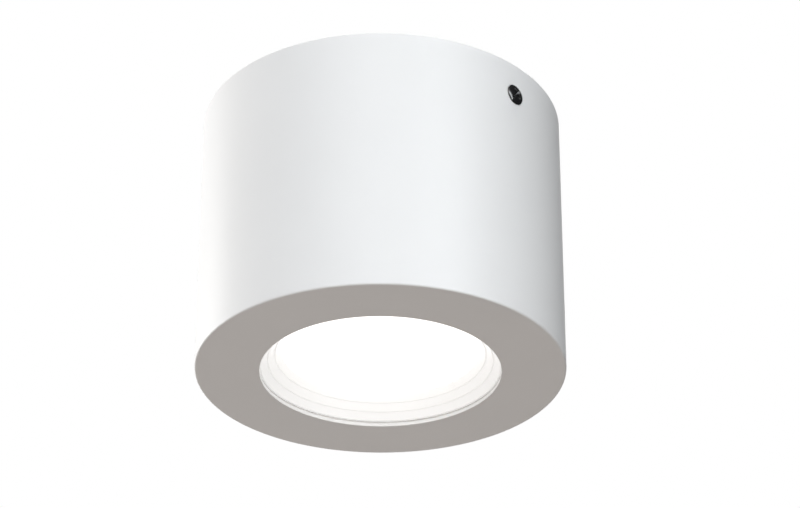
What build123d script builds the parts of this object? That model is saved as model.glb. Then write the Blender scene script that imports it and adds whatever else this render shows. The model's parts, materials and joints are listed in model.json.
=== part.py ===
"""Surface downlight: a white can that hangs under a ceiling, lit through a stepped recess in its face.

Millimetres, +Z up. The origin is the middle of the ceiling plane and the lamp hangs below it.
The two clamping screws lie on the X axis, the two ceiling slots on the Y axis.
"""
import math
import os

from build123d import *

# Housing: a cast can with a flat face ring round the light aperture
body_height = 90.0
aperture_diameter = 76.0
face_width = 20.5
wall = 2.5
face_thickness = 3.0
edge_round = 0.6
aperture_round = 0.3
rim_round = 0.4
corner_round = 1.5
ceiling_gap = 0.5

# Light engine, stacked upward from the lip of the aperture
lip_thickness = 1.15
seal_thickness = 0.75
seal_setback = 0.2
seat_width = 5.0
step_count = 3
step_rise = 2.1
step_tread = 2.25
step_ledge = 0.4
flange_thickness = 2.1
diffuser_thickness = 2.0
diffuser_seat = 6.75
diffuser_round = 0.3
skirt_wall = 2.0
chamber_depth = 11.0
cup_wall = 1.5
cup_flange = 1.5
cup_taper = 4.5
board_thickness = 1.6
pad_thickness = 0.5
pad_radius = 29.5
chip_length = 3.5
chip_width = 2.8
chip_height = 0.7
chip_ring_radii = (8.0, 16.0, 23.5)
chip_ring_counts = (6, 12, 18)
connector_length = 8.0
connector_width = 5.0
connector_height = 3.0
board_screw_circle = 33.4
board_screw_count = 3
board_screw_start = 75.0
board_screw_depth = 2.5

# Heat sink and the posts and pillars that carry it
sink_base = 4.0
fin_height = 10.0
fin_thickness = 1.6
fin_pitch = 6.0
fin_count = 9
fin_radius = 40.0
post_count = 3
post_start = 90.0
post_radius = 5.0
post_inset = 4.5
stud_depth = 7.0
pillar_width = 5.5
pillar_hole_depth = 6.0
fin_clearance = 1.5

# Gear tray and the control gear on it
tray_thickness = 1.2
driver_length = 56.0
driver_width = 32.0
driver_height = 21.0
driver_split = 14.0
driver_wall = 1.6
driver_front = 3.0
driver_corner = 2.0
ear_length = 7.0
ear_width = 9.0
ear_inset = 8.0
ear_thickness = 2.4
lid_lip = 1.6
board_stand = 3.0
stand_radius = 2.0
gear_board_margin = 1.5
transformer_length = 15.0
transformer_width = 14.0
transformer_height = 11.0
capacitor_radius = 4.0
capacitor_height = 12.0
gear_spacing = 2.0
gear_chip_size = (5.0, 4.0, 1.6)
gear_connector_depth = 6.0
gear_connector_height = 6.0
terminal_pitch = 9.5
terminal_poles = 3
terminal_depth = 18.0
terminal_height = 15.0
terminal_margin = 1.5
terminal_back = -12.0
terminal_shift = 2.0
clamp_tube_radius = 2.8
clamp_tube_bore = 1.7
clamp_tube_length = 15.0
clamp_screw_spread = 4.5
terminal_screw_radius = 1.3
terminal_head_radius = 1.9
terminal_head_height = 2.4
terminal_slot_width = 0.6
terminal_slot_depth = 0.8
cord_clamp_place = (38.0, -9.0)
cord_clamp_length = 8.0
cord_radius = 4.0
cord_clamp_wall = 2.4
cord_clamp_wing = 3.0
cord_clamp_margin = 0.4
earth_reach = 6.5
tag_radius = 4.2
tag_thickness = 0.8
tag_barrel_radius = 1.6
tag_barrel_length = 5.0
tag_barrel_start = 5.5

# Leads inside the lamp
lead_radius = 1.0
lead_level_above_tray = 8.0
lead_pitch = 3.0
led_lead_place = (32.0, 9.0)
led_lead_reach = 6.0
led_lead_bend = 5.5
supply_lead_reach = 5.0
supply_lead_bend = 4.0
supply_lead_inset = 9.0
supply_lead_pitch = 4.0
earth_lead_reach = 7.0
earth_lead_bend = 4.0
terminal_insert = 5.0
bush_wall = 1.6
bush_flange = 1.0

# Ceiling plate
plate_thickness = 1.5
plate_gap = 2.5
rim_depth = 6.0
rim_bend = 2.0
dish_depth = 2.0
dish_radius = 12.5
knee_round = 0.6
entry_radius = 8.0
slot_spacing = 70.0
slot_width = 5.0
slot_length = 13.0
tab_width = 16.0
tab_depth = 20.0
tab_bend = 1.0
tab_corner = 3.0
relief_width = 22.0
relief_depth = 4.0
base_seal_height = 5.0
cable_radius = 4.5
grommet_flange_radius = 10.5
grommet_flange = 1.2

# Clamping screws in the side of the can
clamp_drop = 11.8
clamp_radius = 2.0
clamp_length = 7.65
clamp_head_radius = 3.4
clamp_head_height = 1.2
clamp_head_dome = 0.95
clamp_recess_length = 4.0
clamp_recess_width = 0.9
clamp_recess_depth = 0.9
washer_setback = 0.1
washer_thickness = 0.5
spot_depth = 0.6
spot_gap = 0.15
boss_depth = 3.0
boss_radius = 5.5

# Small screws
screw_radius = 1.5
screw_head_radius = 2.75
screw_head_height = 2.0
screw_head_dome = 0.9
screw_recess_length = 3.2
screw_recess_width = 0.7
screw_recess_depth = 1.0
screw_point = 0.8
fixing_radius = 1.2
fixing_head_radius = 1.7
fixing_head_height = 1.3
fixing_head_dome = 0.5
fixing_recess_length = 2.2
fixing_recess_width = 0.5
fixing_recess_depth = 0.7

# Clearances
loose_gap = 0.3
hole_gap = 0.2
thread_gap = 0.05
tip_gap = 0.05

# Radii worked out from the driving sizes
aperture_radius = aperture_diameter / 2
body_radius = aperture_radius + face_width
bore_radius = body_radius - wall
seat_radius = aperture_radius + seat_width
rebate_radius = seat_radius + loose_gap
lens_radius = aperture_radius - step_count * step_tread
pocket_radius = lens_radius + diffuser_seat
skirt_radius = pocket_radius + skirt_wall
fitted_radius = pocket_radius - loose_gap
cup_mouth = lens_radius + loose_gap
cup_throat = cup_mouth - cup_taper
post_circle = bore_radius - post_inset
sink_radius = bore_radius - loose_gap
plate_radius = bore_radius - plate_gap

# Levels, stacked upward from the face; the height left over the control gear is room for wiring
face = -body_height
lip_top = face + lip_thickness
seal_top = lip_top + seal_thickness
diffuser_level = seal_top + step_count * step_rise
chamber_level = diffuser_level + diffuser_thickness
board_level = chamber_level + chamber_depth
pad_level = board_level + board_thickness
sink_level = pad_level + pad_thickness
sink_top = sink_level + sink_base
tray_level = sink_top + fin_height + fin_clearance
tray_top = tray_level + tray_thickness
face_inside = face + face_thickness
clamp_level = -clamp_drop
lead_level = tray_top + lead_level_above_tray

# Places on the gear tray
driver_right = led_lead_place[0] - led_lead_reach
driver_left = driver_right - driver_length
driver_back = driver_front + driver_width
driver_middle = ((driver_left + driver_right) / 2, (driver_front + driver_back) / 2)
ear_places = [
    (driver_left - ear_length / 2, driver_back - ear_inset),
    (driver_right + ear_length / 2, driver_back - ear_inset),
]
gear_board_level = tray_top + driver_wall + board_stand
gear_board_top = gear_board_level + board_thickness
gear_board_length = driver_length - 2 * (driver_wall + gear_board_margin)
gear_board_width = driver_width - 2 * (driver_wall + gear_board_margin)
stand_spread = (gear_board_length - 4 * stand_radius, gear_board_width - 4 * stand_radius)
gear_inset = 2 * driver_wall + hole_gap + loose_gap
transformer_place = (driver_middle[0], driver_back - gear_inset - transformer_width / 2)
capacitor_inset = gear_inset + capacitor_radius
capacitor_places = [
    (driver_left + capacitor_inset, driver_back - capacitor_inset),
    (driver_right - capacitor_inset, driver_back - capacitor_inset),
]
chip_step = gear_spacing + gear_chip_size[1] / 2
transformer_right = transformer_place[0] + transformer_length / 2
gear_chip_places = [
    (capacitor_places[0][0], capacitor_places[0][1] - capacitor_radius - chip_step),
    (transformer_place[0], transformer_place[1] - transformer_width / 2 - chip_step),
    ((transformer_right + capacitor_places[1][0] - capacitor_radius) / 2, capacitor_places[1][1]),
]
terminal_middle = (driver_middle[0] + terminal_shift, terminal_back - terminal_depth / 2)
terminal_front = terminal_back - terminal_depth
terminal_length = terminal_poles * terminal_pitch + 2 * terminal_margin
pole_places = [
    terminal_middle[0] + (pole - (terminal_poles - 1) / 2) * terminal_pitch for pole in range(terminal_poles)
]
terminal_fixing_places = [
    (terminal_middle[0] + side * terminal_pitch / 2, terminal_middle[1]) for side in (-1, 1)
]
earth_place = (terminal_middle[0] + terminal_length / 2 + earth_reach, terminal_middle[1])
cord_clamp_spread = cord_radius + cord_clamp_wall + hole_gap + screw_head_radius
cord_clamp_width = 2 * (cord_clamp_spread + screw_head_radius + cord_clamp_margin)
cord_clamp_places = [
    (cord_clamp_place[0], cord_clamp_place[1] + side * cord_clamp_spread) for side in (-1, 1)
]
led_lead_ys = [led_lead_place[1] - lead_pitch / 2, led_lead_place[1] + lead_pitch / 2]
supply_entry_xs = [driver_left + supply_lead_inset - turn * supply_lead_pitch for turn in (0, 1)]
input_face = driver_front + driver_wall + gear_board_margin
output_face = driver_right - driver_wall - gear_board_margin
tag_barrel_end = earth_place[1] - tag_barrel_start - tag_barrel_length

# Clamping screw: the pocket round its head, its washer, and the tab that its tip presses on
spot_radius = clamp_head_radius + spot_gap
washer_radius = clamp_head_radius - washer_setback
spot_level = body_radius - spot_depth
head_level = spot_level + washer_thickness
tab_face = head_level - clamp_length - tip_gap
relief_edge = tab_face - relief_depth
boss_face = bore_radius - boss_depth


def cross_screw(radius, length, head_radius, head_height, dome, recess_length, recess_width, recess_depth):
    """A round-headed screw with a cross recess, head upward, the head's underside at the origin."""
    with BuildPart() as screw:
        with BuildSketch():
            Circle(head_radius)
        extrude(amount=head_height)
        fillet(screw.edges().group_by(Axis.Z)[-1], dome)
        with BuildSketch():
            Circle(radius)
        extrude(amount=-length)
        with BuildSketch(Plane.XY.offset(head_height)):
            Rectangle(recess_length, recess_width)
            Rectangle(recess_width, recess_length)
        extrude(amount=-recess_depth, mode=Mode.SUBTRACT)
    return screw.part


def tray_screw(length):
    """A small pan-head screw of the given length under its head."""
    return cross_screw(
        screw_radius,
        length,
        screw_head_radius,
        screw_head_height,
        screw_head_dome,
        screw_recess_length,
        screw_recess_width,
        screw_recess_depth,
    )


def clamping_screw():
    """One of the two larger screws in the side of the can."""
    return cross_screw(
        clamp_radius,
        clamp_length,
        clamp_head_radius,
        clamp_head_height,
        clamp_head_dome,
        clamp_recess_length,
        clamp_recess_width,
        clamp_recess_depth,
    )


def side_plane(side, distance):
    """The plane that faces outward along X at the clamping screws' level."""
    return Plane((side * distance, 0, clamp_level), x_dir=(0, side, 0), z_dir=(side, 0, 0))


# Housing: the turned can, its posts, and the bosses of the clamping screws
with BuildPart() as housing:
    with BuildSketch(Plane.XZ):
        with BuildLine():
            FilletPolyline(
                (aperture_radius, face),
                (body_radius, face),
                (body_radius, -ceiling_gap),
                (bore_radius, -ceiling_gap),
                (bore_radius, face_inside),
                (rebate_radius, face_inside),
                (rebate_radius, lip_top),
                (aperture_radius, lip_top),
                radius=(aperture_round, edge_round, rim_round, rim_round, corner_round, 0, 0, 0),
                close=True,
            )
        make_face()
    revolve(axis=Axis.Z)
    with BuildSketch(Plane.XY.offset(face_inside)):
        with PolarLocations(post_circle, post_count, start_angle=post_start):
            Circle(post_radius)
    extrude(amount=sink_level - face_inside)
    with BuildSketch(Plane.XY.offset(sink_level)):
        with PolarLocations(post_circle, post_count, start_angle=post_start):
            Circle(screw_radius + thread_gap)
    extrude(amount=-stud_depth - hole_gap, mode=Mode.SUBTRACT)
    for side in (1, -1):
        with BuildSketch(side_plane(side, boss_face)):
            Circle(boss_radius)
        extrude(amount=boss_depth + wall / 2)
        with BuildSketch(side_plane(side, boss_face)):
            Circle(clamp_radius + thread_gap)
        extrude(amount=body_radius - boss_face, mode=Mode.SUBTRACT)
        with BuildSketch(side_plane(side, spot_level)):
            Circle(spot_radius)
        extrude(amount=wall, mode=Mode.SUBTRACT)

# Face seal: a flat ring on the lip
with BuildPart() as face_seal:
    with BuildSketch(Plane.XY.offset(lip_top)):
        Circle(seat_radius)
        Circle(aperture_radius + seal_setback, mode=Mode.SUBTRACT)
    extrude(amount=seal_thickness)

# Reflector: bands that slope inward from the seal, each after a narrow flat ledge, and a skirt up to the heat sink
reflector_outline = [(seat_radius, seal_top)]
for step in range(step_count):
    step_radius = aperture_radius - step * step_tread
    step_level = seal_top + step * step_rise
    reflector_outline.append((step_radius - step_ledge, step_level))
    reflector_outline.append((step_radius - step_tread, step_level + step_rise))
reflector_outline += [
    (pocket_radius, diffuser_level),
    (pocket_radius, sink_level),
    (skirt_radius, sink_level),
    (skirt_radius, seal_top + flange_thickness),
    (seat_radius, seal_top + flange_thickness),
]
with BuildPart() as reflector:
    with BuildSketch(Plane.XZ):
        with BuildLine():
            Polyline(*reflector_outline, close=True)
        make_face()
    revolve(axis=Axis.Z)

# Diffuser: an opal disc on the reflector's ledge
with BuildPart() as diffuser:
    with BuildSketch(Plane.XY.offset(diffuser_level)):
        Circle(fitted_radius)
    extrude(amount=diffuser_thickness)
    fillet(diffuser.edges(), diffuser_round)

# Light cup: a white cone that holds the diffuser down and mixes the light
with BuildPart() as light_cup:
    with BuildSketch(Plane.XZ):
        with BuildLine():
            Polyline(
                (cup_mouth, chamber_level),
                (fitted_radius, chamber_level),
                (fitted_radius, chamber_level + cup_flange),
                (cup_mouth + cup_wall, chamber_level + cup_flange),
                (cup_throat + cup_wall, board_level),
                (cup_throat, board_level),
                close=True,
            )
        make_face()
    revolve(axis=Axis.Z)

# LED board, its chips, its connector and its screws
with BuildPart() as led_board:
    with BuildSketch(Plane.XY.offset(board_level)):
        Circle(fitted_radius)
        with PolarLocations(board_screw_circle, board_screw_count, start_angle=board_screw_start):
            Circle(screw_radius + hole_gap, mode=Mode.SUBTRACT)
        with Locations(*[(led_lead_place[0], y) for y in led_lead_ys]):
            Circle(lead_radius + hole_gap, mode=Mode.SUBTRACT)
    extrude(amount=board_thickness)

with BuildPart() as led_chips:
    with BuildSketch(Plane.XY.offset(board_level)):
        Rectangle(chip_length, chip_width)
        for ring_radius, ring_count in zip(chip_ring_radii, chip_ring_counts):
            with PolarLocations(ring_radius, ring_count):
                Rectangle(chip_length, chip_width)
    extrude(amount=-chip_height)

with BuildPart() as led_connector:
    with BuildSketch(Plane.XY.offset(board_level)):
        with Locations(led_lead_place):
            Rectangle(connector_width, connector_length)
    extrude(amount=-connector_height)
    fillet(led_connector.edges().filter_by(Axis.Z), loose_gap)

board_screw = tray_screw(board_thickness + pad_thickness + board_screw_depth)
with BuildPart(Plane((0, 0, board_level), x_dir=(1, 0, 0), z_dir=(0, 0, -1))) as led_board_screws:
    with PolarLocations(board_screw_circle, board_screw_count, start_angle=-board_screw_start):
        add(board_screw)

# Thermal pad between the board and the heat sink
with BuildPart() as thermal_pad:
    with BuildSketch(Plane.XY.offset(pad_level)):
        Circle(pad_radius)
    extrude(amount=pad_thickness)

# Heat sink: a disc on the posts with straight fins above
with BuildPart() as heat_sink:
    with BuildSketch(Plane.XY.offset(sink_level)):
        Circle(sink_radius)
        with PolarLocations(post_circle, post_count, start_angle=post_start):
            Circle(screw_radius + hole_gap, mode=Mode.SUBTRACT)
        with Locations(led_lead_place):
            SlotCenterToCenter(lead_pitch, 2 * (lead_radius + loose_gap), rotation=90, mode=Mode.SUBTRACT)
    extrude(amount=sink_base)
    with BuildSketch(Plane.XY.offset(sink_top)):
        with GridLocations(fin_pitch, fin_pitch, fin_count, 1):
            Rectangle(fin_thickness, 2 * fin_radius)
        Circle(fin_radius, mode=Mode.INTERSECT)
    extrude(amount=fin_height)
    with BuildSketch(Plane.XY.offset(sink_level)):
        with PolarLocations(board_screw_circle, board_screw_count, start_angle=board_screw_start):
            Circle(screw_radius + thread_gap)
    extrude(amount=board_screw_depth + hole_gap, mode=Mode.SUBTRACT)

# Pillars: hexagon spacers whose studs hold the heat sink on the posts
with BuildPart() as pillars:
    with BuildSketch(Plane.XY.offset(sink_top)):
        with PolarLocations(post_circle, post_count, start_angle=post_start):
            RegularPolygon(pillar_width / 2, 6, major_radius=False)
    extrude(amount=tray_level - sink_top)
    with BuildSketch(Plane.XY.offset(sink_top)):
        with PolarLocations(post_circle, post_count, start_angle=post_start):
            Circle(screw_radius)
    extrude(amount=-sink_base - stud_depth)
    with BuildSketch(Plane.XY.offset(tray_level)):
        with PolarLocations(post_circle, post_count, start_angle=post_start):
            Circle(screw_radius + thread_gap)
    extrude(amount=-pillar_hole_depth, mode=Mode.SUBTRACT)

# Gear tray: the steel disc that carries the control gear
with BuildPart() as gear_tray:
    with BuildSketch(Plane.XY.offset(tray_level)):
        Circle(sink_radius)
        with PolarLocations(post_circle, post_count, start_angle=post_start):
            Circle(screw_radius + hole_gap, mode=Mode.SUBTRACT)
        with Locations(*ear_places, *cord_clamp_places, earth_place):
            Circle(screw_radius + thread_gap, mode=Mode.SUBTRACT)
        with Locations(*terminal_fixing_places):
            Circle(fixing_radius + thread_gap, mode=Mode.SUBTRACT)
        with Locations(led_lead_place):
            SlotCenterToCenter(
                lead_pitch, 2 * (lead_radius + bush_wall + thread_gap), rotation=90, mode=Mode.SUBTRACT
            )
    extrude(amount=tray_thickness)

tray_fixing = tray_screw(tray_thickness + pillar_hole_depth - screw_point)
with BuildPart(Plane.XY.offset(tray_top)) as tray_screws:
    with PolarLocations(post_circle, post_count, start_angle=post_start):
        add(tray_fixing)

# Driver: a moulded box with a lid, and the board inside it
with BuildPart() as driver_base:
    with BuildSketch(Plane.XY.offset(tray_top)):
        with Locations(driver_middle):
            RectangleRounded(driver_length, driver_width, driver_corner)
    extrude(amount=driver_split)
    with BuildSketch(Plane.XY.offset(tray_top + driver_wall)):
        with Locations(driver_middle):
            Rectangle(driver_length - 2 * driver_wall, driver_width - 2 * driver_wall)
    extrude(amount=driver_split, mode=Mode.SUBTRACT)
    with BuildSketch(Plane.XY.offset(tray_top + driver_wall)):
        with Locations(driver_middle):
            with GridLocations(stand_spread[0], stand_spread[1], 2, 2):
                Circle(stand_radius)
    extrude(amount=board_stand)
    with BuildSketch(Plane.XY.offset(tray_top)):
        with Locations(*ear_places):
            Rectangle(ear_length, ear_width)
            Circle(screw_radius + hole_gap, mode=Mode.SUBTRACT)
    extrude(amount=ear_thickness)
    with BuildSketch(Plane((0, driver_front, lead_level), x_dir=(1, 0, 0), z_dir=(0, -1, 0))):
        with Locations(*[(x, 0) for x in supply_entry_xs]):
            Circle(lead_radius + hole_gap)
    extrude(amount=-driver_wall, mode=Mode.SUBTRACT)
    with BuildSketch(Plane((driver_right, 0, lead_level), x_dir=(0, 1, 0), z_dir=(1, 0, 0))):
        with Locations(*[(y, 0) for y in led_lead_ys]):
            Circle(lead_radius + hole_gap)
    extrude(amount=-driver_wall, mode=Mode.SUBTRACT)

with BuildPart() as driver_lid:
    with BuildSketch(Plane.XY.offset(tray_top + driver_split)):
        with Locations(driver_middle):
            RectangleRounded(driver_length, driver_width, driver_corner)
    extrude(amount=driver_height - driver_split)
    fillet(driver_lid.edges().group_by(Axis.Z)[-1], edge_round)
    with BuildSketch(Plane.XY.offset(tray_top + driver_split - lid_lip)):
        with Locations(driver_middle):
            Rectangle(
                driver_length - 2 * (driver_wall + hole_gap), driver_width - 2 * (driver_wall + hole_gap)
            )
    extrude(amount=lid_lip)
    with BuildSketch(Plane.XY.offset(tray_top + driver_split - lid_lip)):
        with Locations(driver_middle):
            Rectangle(
                driver_length - 2 * (2 * driver_wall + hole_gap),
                driver_width - 2 * (2 * driver_wall + hole_gap),
            )
    extrude(amount=driver_height - driver_split + lid_lip - driver_wall, mode=Mode.SUBTRACT)

with BuildPart() as driver_board:
    with BuildSketch(Plane.XY.offset(gear_board_level)):
        with Locations(driver_middle):
            Rectangle(gear_board_length, gear_board_width)
    extrude(amount=board_thickness)

with BuildPart() as driver_transformer:
    with BuildSketch(Plane.XY.offset(gear_board_top)):
        with Locations(transformer_place):
            Rectangle(transformer_length, transformer_width)
    extrude(amount=transformer_height)
    fillet(driver_transformer.edges().filter_by(Axis.Z), edge_round)

with BuildPart() as driver_capacitors:
    with BuildSketch(Plane.XY.offset(gear_board_top)):
        with Locations(*capacitor_places):
            Circle(capacitor_radius)
    extrude(amount=capacitor_height)
    fillet(driver_capacitors.edges().group_by(Axis.Z)[-1], edge_round)

with BuildPart() as driver_chips:
    with BuildSketch(Plane.XY.offset(gear_board_top)):
        with Locations(*gear_chip_places):
            Rectangle(gear_chip_size[0], gear_chip_size[1])
    extrude(amount=gear_chip_size[2])

with BuildPart() as driver_connectors:
    with BuildSketch(Plane.XY.offset(gear_board_top)):
        with Locations((sum(supply_entry_xs) / 2, input_face + gear_connector_depth / 2)):
            Rectangle(2 * supply_lead_pitch, gear_connector_depth)
        with Locations((output_face - gear_connector_depth / 2, led_lead_place[1])):
            Rectangle(gear_connector_depth, 2 * lead_pitch)
    extrude(amount=gear_connector_height)

ear_screw = tray_screw(ear_thickness + tray_thickness + screw_point)
with BuildPart(Plane.XY.offset(tray_top + ear_thickness)) as driver_screws:
    with Locations(*ear_places):
        add(ear_screw)

# Terminal block: the moulding, its brass tubes and their screws
with BuildPart() as terminal_block:
    with BuildSketch(Plane.XY.offset(tray_top)):
        with Locations(terminal_middle):
            Rectangle(terminal_length, terminal_depth)
    extrude(amount=terminal_height)
    fillet(terminal_block.edges().group_by(Axis.Z)[-1], edge_round)
    with BuildSketch(Plane((0, terminal_front, lead_level), x_dir=(1, 0, 0), z_dir=(0, -1, 0))):
        with Locations(*[(x, 0) for x in pole_places]):
            Circle(clamp_tube_radius + thread_gap)
    extrude(amount=-terminal_depth, mode=Mode.SUBTRACT)
    with BuildSketch(Plane.XY.offset(lead_level)):
        with Locations(terminal_middle):
            with GridLocations(terminal_pitch, 2 * clamp_screw_spread, terminal_poles, 2):
                Circle(terminal_head_radius + hole_gap)
    extrude(amount=terminal_height, mode=Mode.SUBTRACT)
    with BuildSketch(Plane.XY.offset(tray_top)):
        with Locations(*terminal_fixing_places):
            Circle(fixing_radius + hole_gap)
    extrude(amount=terminal_height, mode=Mode.SUBTRACT)

with BuildPart() as terminal_clamps:
    tube_front = Plane(
        (0, terminal_middle[1] - clamp_tube_length / 2, lead_level), x_dir=(1, 0, 0), z_dir=(0, -1, 0)
    )
    with BuildSketch(tube_front):
        with Locations(*[(x, 0) for x in pole_places]):
            Circle(clamp_tube_radius)
            Circle(clamp_tube_bore, mode=Mode.SUBTRACT)
    extrude(amount=-clamp_tube_length)
    with BuildSketch(Plane.XY.offset(lead_level)):
        with Locations(terminal_middle):
            with GridLocations(terminal_pitch, 2 * clamp_screw_spread, terminal_poles, 2):
                Circle(terminal_screw_radius + thread_gap)
    extrude(amount=clamp_tube_radius, mode=Mode.SUBTRACT)

with BuildPart() as terminal_screws:
    head_bottom = lead_level + clamp_tube_radius + hole_gap
    screw_tip = lead_level + lead_radius + hole_gap
    with BuildSketch(Plane.XY.offset(screw_tip)):
        with Locations(terminal_middle):
            with GridLocations(terminal_pitch, 2 * clamp_screw_spread, terminal_poles, 2):
                Circle(terminal_screw_radius)
    extrude(amount=head_bottom - screw_tip)
    with BuildSketch(Plane.XY.offset(head_bottom)):
        with Locations(terminal_middle):
            with GridLocations(terminal_pitch, 2 * clamp_screw_spread, terminal_poles, 2):
                Circle(terminal_head_radius)
    extrude(amount=terminal_head_height)
    with BuildSketch(Plane.XY.offset(head_bottom + terminal_head_height)):
        with Locations(terminal_middle):
            with GridLocations(terminal_pitch, 2 * clamp_screw_spread, terminal_poles, 2):
                Rectangle(2 * terminal_head_radius + hole_gap, terminal_slot_width)
    extrude(amount=-terminal_slot_depth, mode=Mode.SUBTRACT)

terminal_fixing = cross_screw(
    fixing_radius,
    terminal_height + tray_thickness + screw_point,
    fixing_head_radius,
    fixing_head_height,
    fixing_head_dome,
    fixing_recess_length,
    fixing_recess_width,
    fixing_recess_depth,
)
with BuildPart(Plane.XY.offset(tray_top + terminal_height)) as terminal_fixings:
    with Locations(*terminal_fixing_places):
        add(terminal_fixing)

# Cord clamp: a saddle with two wings over the supply cord's place
with BuildPart() as cord_clamp:
    saddle_plane = Plane(
        (cord_clamp_place[0] - cord_clamp_length / 2, cord_clamp_place[1], tray_top),
        x_dir=(0, 1, 0),
        z_dir=(1, 0, 0),
    )
    with BuildSketch(saddle_plane):
        with Locations((0, cord_radius)):
            Circle(cord_radius + cord_clamp_wall)
        with Locations((0, cord_clamp_wing / 2)):
            Rectangle(cord_clamp_width, cord_clamp_wing)
        with Locations((0, -cord_radius)):
            Rectangle(4 * cord_radius, 2 * cord_radius, mode=Mode.SUBTRACT)
        with Locations((0, cord_radius)):
            Circle(cord_radius, mode=Mode.SUBTRACT)
        with Locations((0, cord_radius / 2)):
            Rectangle(2 * cord_radius, cord_radius, mode=Mode.SUBTRACT)
    extrude(amount=cord_clamp_length)
    with BuildSketch(Plane.XY.offset(tray_top)):
        with Locations(*cord_clamp_places):
            Circle(screw_radius + hole_gap)
    extrude(amount=cord_clamp_wing, mode=Mode.SUBTRACT)

wing_screw = tray_screw(cord_clamp_wing + tray_thickness + screw_point)
with BuildPart(Plane.XY.offset(tray_top + cord_clamp_wing)) as cord_clamp_screws:
    with Locations(*cord_clamp_places):
        add(wing_screw)

# Earth tag: a ring under the earth screw with a crimp barrel for its lead
with BuildPart() as earth_tag:
    with BuildSketch(Plane.XY.offset(tray_top)):
        with Locations(earth_place):
            Circle(tag_radius)
        with Locations((earth_place[0], earth_place[1] - tag_barrel_start / 2)):
            Rectangle(2 * tag_barrel_radius, tag_barrel_start + tag_barrel_radius)
        with Locations(earth_place):
            Circle(screw_radius + hole_gap, mode=Mode.SUBTRACT)
    extrude(amount=tag_thickness)
    barrel_plane = Plane(
        (earth_place[0], earth_place[1] - tag_barrel_start, tray_top + tag_barrel_radius),
        x_dir=(1, 0, 0),
        z_dir=(0, -1, 0),
    )
    with BuildSketch(barrel_plane):
        Circle(tag_barrel_radius)
    extrude(amount=tag_barrel_length)
    with BuildSketch(barrel_plane):
        Circle(lead_radius + thread_gap)
    extrude(amount=tag_barrel_length, mode=Mode.SUBTRACT)

ground_screw = tray_screw(tag_thickness + tray_thickness + screw_point)
with BuildPart(Plane.XY.offset(tray_top + tag_thickness)) as earth_screw:
    with Locations(earth_place):
        add(ground_screw)

# Lead bush: a soft oblong ring that lines the tray's slot round the two LED leads
with BuildPart() as lead_bush:
    with BuildSketch(Plane.XY.offset(tray_level - bush_flange)):
        with Locations(led_lead_place):
            SlotCenterToCenter(lead_pitch, 2 * (lead_radius + bush_wall + bush_flange), rotation=90)
    extrude(amount=tray_thickness + 2 * bush_flange)
    with BuildSketch(Plane.XY.offset(tray_level)):
        with Locations(led_lead_place):
            SlotCenterToCenter(lead_pitch, 2 * (lead_radius + bush_wall + 2 * bush_flange), rotation=90)
            SlotCenterToCenter(lead_pitch, 2 * (lead_radius + bush_wall), rotation=90, mode=Mode.SUBTRACT)
    extrude(amount=tray_thickness, mode=Mode.SUBTRACT)
    with BuildSketch(Plane.XY.offset(tray_level - bush_flange)):
        with Locations(*[(led_lead_place[0], y) for y in led_lead_ys]):
            Circle(lead_radius + thread_gap)
    extrude(amount=tray_thickness + 2 * bush_flange, mode=Mode.SUBTRACT)

# Leads: round wires along straight runs joined by arcs
insert_end = terminal_front + terminal_insert
supply_turns = [terminal_front - supply_lead_reach - turn * supply_lead_pitch for turn in (0, 1)]

with BuildPart() as live_lead:
    with BuildLine() as live_route:
        FilletPolyline(
            (pole_places[0], insert_end, lead_level),
            (pole_places[0], supply_turns[0], lead_level),
            (supply_entry_xs[0], supply_turns[0], lead_level),
            (supply_entry_xs[0], input_face, lead_level),
            radius=supply_lead_bend,
        )
    with BuildSketch(Plane(live_route.line @ 0, z_dir=live_route.line % 0)):
        Circle(lead_radius)
    sweep(path=live_route.line)

with BuildPart() as neutral_lead:
    with BuildLine() as neutral_route:
        FilletPolyline(
            (pole_places[1], insert_end, lead_level),
            (pole_places[1], supply_turns[1], lead_level),
            (supply_entry_xs[1], supply_turns[1], lead_level),
            (supply_entry_xs[1], input_face, lead_level),
            radius=supply_lead_bend,
        )
    with BuildSketch(Plane(neutral_route.line @ 0, z_dir=neutral_route.line % 0)):
        Circle(lead_radius)
    sweep(path=neutral_route.line)

with BuildPart() as earth_lead:
    with BuildLine() as earth_route:
        FilletPolyline(
            (pole_places[2], insert_end, lead_level),
            (pole_places[2], terminal_front - earth_lead_reach, lead_level),
            (earth_place[0], terminal_front - earth_lead_reach, tray_top + tag_barrel_radius),
            (earth_place[0], tag_barrel_end + tag_barrel_length / 2, tray_top + tag_barrel_radius),
            radius=earth_lead_bend,
        )
    with BuildSketch(Plane(earth_route.line @ 0, z_dir=earth_route.line % 0)):
        Circle(lead_radius)
    sweep(path=earth_route.line)

with BuildPart() as led_positive_lead:
    with BuildLine() as positive_route:
        FilletPolyline(
            (output_face, led_lead_ys[0], lead_level),
            (led_lead_place[0], led_lead_ys[0], lead_level),
            (led_lead_place[0], led_lead_ys[0], board_level),
            radius=led_lead_bend,
        )
    with BuildSketch(Plane(positive_route.line @ 0, z_dir=positive_route.line % 0)):
        Circle(lead_radius)
    sweep(path=positive_route.line)

with BuildPart() as led_negative_lead:
    with BuildLine() as negative_route:
        FilletPolyline(
            (output_face, led_lead_ys[1], lead_level),
            (led_lead_place[0], led_lead_ys[1], lead_level),
            (led_lead_place[0], led_lead_ys[1], board_level),
            radius=led_lead_bend,
        )
    with BuildSketch(Plane(negative_route.line @ 0, z_dir=negative_route.line % 0)):
        Circle(lead_radius)
    sweep(path=negative_route.line)

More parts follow.
